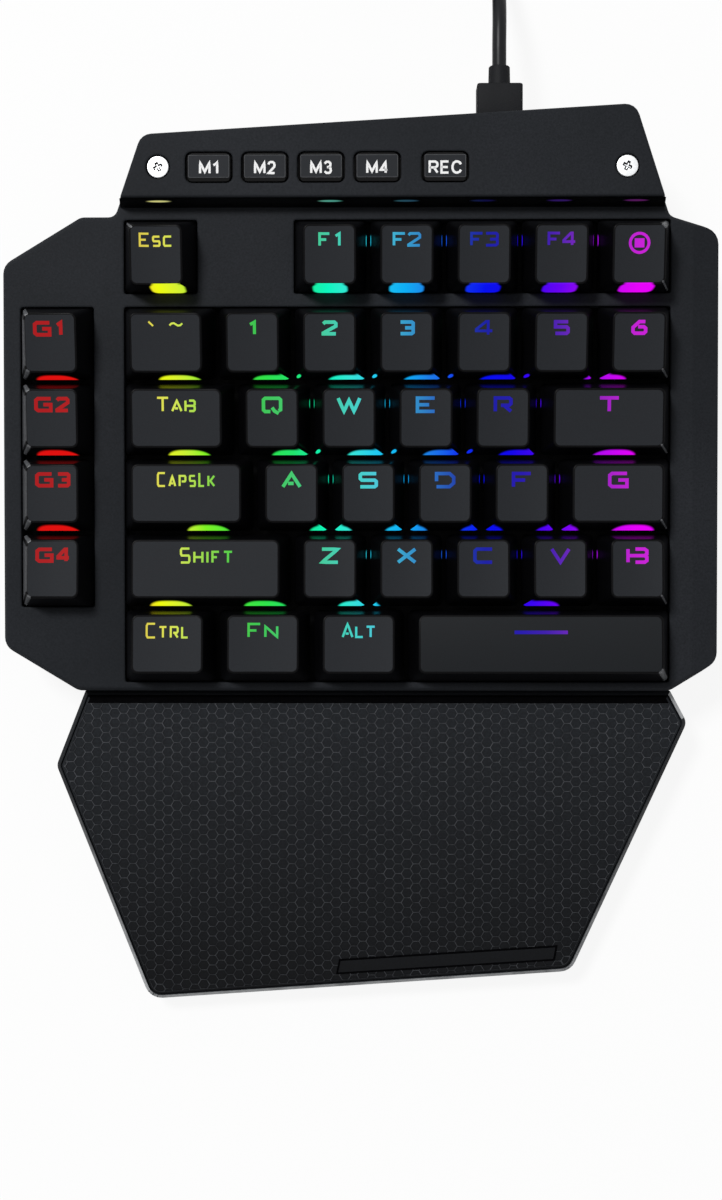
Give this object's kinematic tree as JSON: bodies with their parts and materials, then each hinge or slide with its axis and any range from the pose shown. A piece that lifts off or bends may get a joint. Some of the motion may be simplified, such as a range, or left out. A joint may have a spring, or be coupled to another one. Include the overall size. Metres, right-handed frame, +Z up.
{
  "type": "gaming keypad",
  "caption": "One-handed mechanical gaming keypad with backlit keys, a raised rear bar of small buttons, a hooked palm rest and a fixed coiled lead.",
  "frame": {"origin": "on the desk, under the middle of the bounding box of everything but the lead", "axes": "+Z up, +Y away from the user towards the rear bar and the lead, +X to the user's right"},
  "size_m": [0.1806, 0.3313, 0.0395],
  "materials": {
    "case": "fine matt texture, dark grey",
    "keycap": "matt, dark grey, legends lit from below",
    "gloss": "gloss black",
    "palm_skin": "moulded hexagon texture, dark grey",
    "rubber": "matt black",
    "lead": "smooth black lead jacket",
    "steel": "stamped sheet",
    "screw": "bright plated",
    "board": "green solder mask"
  },
  "bodies": {
    "case": {"base_shell": "case", "top_cover": "case", "switch_plate": "steel", "circuit_board": "board", "macro_board": "board", "screw_left": "screw", "screw_right": "screw", "palm_rest": "case", "palm_rest_pad": "palm_skin", "front_foot": "rubber", "rear_foot": "rubber", "cable_relief": "rubber", "usb_lead_run": "lead", "usb_lead_coil": "lead", "usb_plug": "lead", "cable_tie": "rubber"},
    "key_esc": {"key_esc": "keycap"},
    "key_f1": {"key_f1": "keycap"},
    "key_f2": {"key_f2": "keycap"},
    "key_f3": {"key_f3": "keycap"},
    "key_f4": {"key_f4": "keycap"},
    "key_mode": {"key_mode": "keycap"},
    "key_grave": {"key_grave": "keycap"},
    "key_1": {"key_1": "keycap"},
    "key_2": {"key_2": "keycap"},
    "key_3": {"key_3": "keycap"},
    "key_4": {"key_4": "keycap"},
    "key_5": {"key_5": "keycap"},
    "key_6": {"key_6": "keycap"},
    "key_tab": {"key_tab": "keycap"},
    "key_q": {"key_q": "keycap"},
    "key_w": {"key_w": "keycap"},
    "key_e": {"key_e": "keycap"},
    "key_r": {"key_r": "keycap"},
    "key_t": {"key_t": "keycap"},
    "key_caps_lock": {"key_caps_lock": "keycap"},
    "key_a": {"key_a": "keycap"},
    "key_s": {"key_s": "keycap"},
    "key_d": {"key_d": "keycap"},
    "key_f": {"key_f": "keycap"},
    "key_g": {"key_g": "keycap"},
    "key_shift": {"key_shift": "keycap"},
    "key_z": {"key_z": "keycap"},
    "key_x": {"key_x": "keycap"},
    "key_c": {"key_c": "keycap"},
    "key_v": {"key_v": "keycap"},
    "key_b": {"key_b": "keycap"},
    "key_ctrl": {"key_ctrl": "keycap"},
    "key_fn": {"key_fn": "keycap"},
    "key_alt": {"key_alt": "keycap"},
    "key_space": {"key_space": "keycap"},
    "key_g1": {"key_g1": "keycap"},
    "key_g2": {"key_g2": "keycap"},
    "key_g3": {"key_g3": "keycap"},
    "key_g4": {"key_g4": "keycap"},
    "button_m1": {"button_m1": "gloss"},
    "button_m2": {"button_m2": "gloss"},
    "button_m3": {"button_m3": "gloss"},
    "button_m4": {"button_m4": "gloss"},
    "button_rec": {"button_rec": "gloss"}
  },
  "joints": [
    {"name": "press_esc", "type": "slide", "parent": "case", "child": "key_esc", "axis": [0, 0.0741, -0.9973], "range_m": [0, 0.004], "stiffness_N_per_m": 100, "springref_m": -0.003},
    {"name": "press_f1", "type": "slide", "parent": "case", "child": "key_f1", "axis": [0, 0.0741, -0.9973], "range_m": [0, 0.004], "stiffness_N_per_m": 100, "springref_m": -0.003},
    {"name": "press_f2", "type": "slide", "parent": "case", "child": "key_f2", "axis": [0, 0.0741, -0.9973], "range_m": [0, 0.004], "stiffness_N_per_m": 100, "springref_m": -0.003},
    {"name": "press_f3", "type": "slide", "parent": "case", "child": "key_f3", "axis": [0, 0.0741, -0.9973], "range_m": [0, 0.004], "stiffness_N_per_m": 100, "springref_m": -0.003},
    {"name": "press_f4", "type": "slide", "parent": "case", "child": "key_f4", "axis": [0, 0.0741, -0.9973], "range_m": [0, 0.004], "stiffness_N_per_m": 100, "springref_m": -0.003},
    {"name": "press_mode", "type": "slide", "parent": "case", "child": "key_mode", "axis": [0, 0.0741, -0.9973], "range_m": [0, 0.004], "stiffness_N_per_m": 100, "springref_m": -0.003},
    {"name": "press_grave", "type": "slide", "parent": "case", "child": "key_grave", "axis": [0, 0.0741, -0.9973], "range_m": [0, 0.004], "stiffness_N_per_m": 100, "springref_m": -0.003},
    {"name": "press_1", "type": "slide", "parent": "case", "child": "key_1", "axis": [0, 0.0741, -0.9973], "range_m": [0, 0.004], "stiffness_N_per_m": 100, "springref_m": -0.003},
    {"name": "press_2", "type": "slide", "parent": "case", "child": "key_2", "axis": [0, 0.0741, -0.9973], "range_m": [0, 0.004], "stiffness_N_per_m": 100, "springref_m": -0.003},
    {"name": "press_3", "type": "slide", "parent": "case", "child": "key_3", "axis": [0, 0.0741, -0.9973], "range_m": [0, 0.004], "stiffness_N_per_m": 100, "springref_m": -0.003},
    {"name": "press_4", "type": "slide", "parent": "case", "child": "key_4", "axis": [0, 0.0741, -0.9973], "range_m": [0, 0.004], "stiffness_N_per_m": 100, "springref_m": -0.003},
    {"name": "press_5", "type": "slide", "parent": "case", "child": "key_5", "axis": [0, 0.0741, -0.9973], "range_m": [0, 0.004], "stiffness_N_per_m": 100, "springref_m": -0.003},
    {"name": "press_6", "type": "slide", "parent": "case", "child": "key_6", "axis": [0, 0.0741, -0.9973], "range_m": [0, 0.004], "stiffness_N_per_m": 100, "springref_m": -0.003},
    {"name": "press_tab", "type": "slide", "parent": "case", "child": "key_tab", "axis": [0, 0.0741, -0.9973], "range_m": [0, 0.004], "stiffness_N_per_m": 100, "springref_m": -0.003},
    {"name": "press_q", "type": "slide", "parent": "case", "child": "key_q", "axis": [0, 0.0741, -0.9973], "range_m": [0, 0.004], "stiffness_N_per_m": 100, "springref_m": -0.003},
    {"name": "press_w", "type": "slide", "parent": "case", "child": "key_w", "axis": [0, 0.0741, -0.9973], "range_m": [0, 0.004], "stiffness_N_per_m": 100, "springref_m": -0.003},
    {"name": "press_e", "type": "slide", "parent": "case", "child": "key_e", "axis": [0, 0.0741, -0.9973], "range_m": [0, 0.004], "stiffness_N_per_m": 100, "springref_m": -0.003},
    {"name": "press_r", "type": "slide", "parent": "case", "child": "key_r", "axis": [0, 0.0741, -0.9973], "range_m": [0, 0.004], "stiffness_N_per_m": 100, "springref_m": -0.003},
    {"name": "press_t", "type": "slide", "parent": "case", "child": "key_t", "axis": [0, 0.0741, -0.9973], "range_m": [0, 0.004], "stiffness_N_per_m": 100, "springref_m": -0.003},
    {"name": "press_caps_lock", "type": "slide", "parent": "case", "child": "key_caps_lock", "axis": [0, 0.0741, -0.9973], "range_m": [0, 0.004], "stiffness_N_per_m": 100, "springref_m": -0.003},
    {"name": "press_a", "type": "slide", "parent": "case", "child": "key_a", "axis": [0, 0.0741, -0.9973], "range_m": [0, 0.004], "stiffness_N_per_m": 100, "springref_m": -0.003},
    {"name": "press_s", "type": "slide", "parent": "case", "child": "key_s", "axis": [0, 0.0741, -0.9973], "range_m": [0, 0.004], "stiffness_N_per_m": 100, "springref_m": -0.003},
    {"name": "press_d", "type": "slide", "parent": "case", "child": "key_d", "axis": [0, 0.0741, -0.9973], "range_m": [0, 0.004], "stiffness_N_per_m": 100, "springref_m": -0.003},
    {"name": "press_f", "type": "slide", "parent": "case", "child": "key_f", "axis": [0, 0.0741, -0.9973], "range_m": [0, 0.004], "stiffness_N_per_m": 100, "springref_m": -0.003},
    {"name": "press_g", "type": "slide", "parent": "case", "child": "key_g", "axis": [0, 0.0741, -0.9973], "range_m": [0, 0.004], "stiffness_N_per_m": 100, "springref_m": -0.003},
    {"name": "press_shift", "type": "slide", "parent": "case", "child": "key_shift", "axis": [0, 0.0741, -0.9973], "range_m": [0, 0.004], "stiffness_N_per_m": 100, "springref_m": -0.003},
    {"name": "press_z", "type": "slide", "parent": "case", "child": "key_z", "axis": [0, 0.0741, -0.9973], "range_m": [0, 0.004], "stiffness_N_per_m": 100, "springref_m": -0.003},
    {"name": "press_x", "type": "slide", "parent": "case", "child": "key_x", "axis": [0, 0.0741, -0.9973], "range_m": [0, 0.004], "stiffness_N_per_m": 100, "springref_m": -0.003},
    {"name": "press_c", "type": "slide", "parent": "case", "child": "key_c", "axis": [0, 0.0741, -0.9973], "range_m": [0, 0.004], "stiffness_N_per_m": 100, "springref_m": -0.003},
    {"name": "press_v", "type": "slide", "parent": "case", "child": "key_v", "axis": [0, 0.0741, -0.9973], "range_m": [0, 0.004], "stiffness_N_per_m": 100, "springref_m": -0.003},
    {"name": "press_b", "type": "slide", "parent": "case", "child": "key_b", "axis": [0, 0.0741, -0.9973], "range_m": [0, 0.004], "stiffness_N_per_m": 100, "springref_m": -0.003},
    {"name": "press_ctrl", "type": "slide", "parent": "case", "child": "key_ctrl", "axis": [0, 0.0741, -0.9973], "range_m": [0, 0.004], "stiffness_N_per_m": 100, "springref_m": -0.003},
    {"name": "press_fn", "type": "slide", "parent": "case", "child": "key_fn", "axis": [0, 0.0741, -0.9973], "range_m": [0, 0.004], "stiffness_N_per_m": 100, "springref_m": -0.003},
    {"name": "press_alt", "type": "slide", "parent": "case", "child": "key_alt", "axis": [0, 0.0741, -0.9973], "range_m": [0, 0.004], "stiffness_N_per_m": 100, "springref_m": -0.003},
    {"name": "press_space", "type": "slide", "parent": "case", "child": "key_space", "axis": [0, 0.0741, -0.9973], "range_m": [0, 0.004], "stiffness_N_per_m": 100, "springref_m": -0.003},
    {"name": "press_g1", "type": "slide", "parent": "case", "child": "key_g1", "axis": [0, 0.0741, -0.9973], "range_m": [0, 0.004], "stiffness_N_per_m": 100, "springref_m": -0.003},
    {"name": "press_g2", "type": "slide", "parent": "case", "child": "key_g2", "axis": [0, 0.0741, -0.9973], "range_m": [0, 0.004], "stiffness_N_per_m": 100, "springref_m": -0.003},
    {"name": "press_g3", "type": "slide", "parent": "case", "child": "key_g3", "axis": [0, 0.0741, -0.9973], "range_m": [0, 0.004], "stiffness_N_per_m": 100, "springref_m": -0.003},
    {"name": "press_g4", "type": "slide", "parent": "case", "child": "key_g4", "axis": [0, 0.0741, -0.9973], "range_m": [0, 0.004], "stiffness_N_per_m": 100, "springref_m": -0.003},
    {"name": "push_m1", "type": "slide", "parent": "case", "child": "button_m1", "axis": [0, 0.0741, -0.9973], "range_m": [0, 0.0006], "stiffness_N_per_m": 600, "springref_m": -0.0005},
    {"name": "push_m2", "type": "slide", "parent": "case", "child": "button_m2", "axis": [0, 0.0741, -0.9973], "range_m": [0, 0.0006], "stiffness_N_per_m": 600, "springref_m": -0.0005},
    {"name": "push_m3", "type": "slide", "parent": "case", "child": "button_m3", "axis": [0, 0.0741, -0.9973], "range_m": [0, 0.0006], "stiffness_N_per_m": 600, "springref_m": -0.0005},
    {"name": "push_m4", "type": "slide", "parent": "case", "child": "button_m4", "axis": [0, 0.0741, -0.9973], "range_m": [0, 0.0006], "stiffness_N_per_m": 600, "springref_m": -0.0005},
    {"name": "push_rec", "type": "slide", "parent": "case", "child": "button_rec", "axis": [0, 0.0741, -0.9973], "range_m": [0, 0.0006], "stiffness_N_per_m": 600, "springref_m": -0.0005}
  ]
}
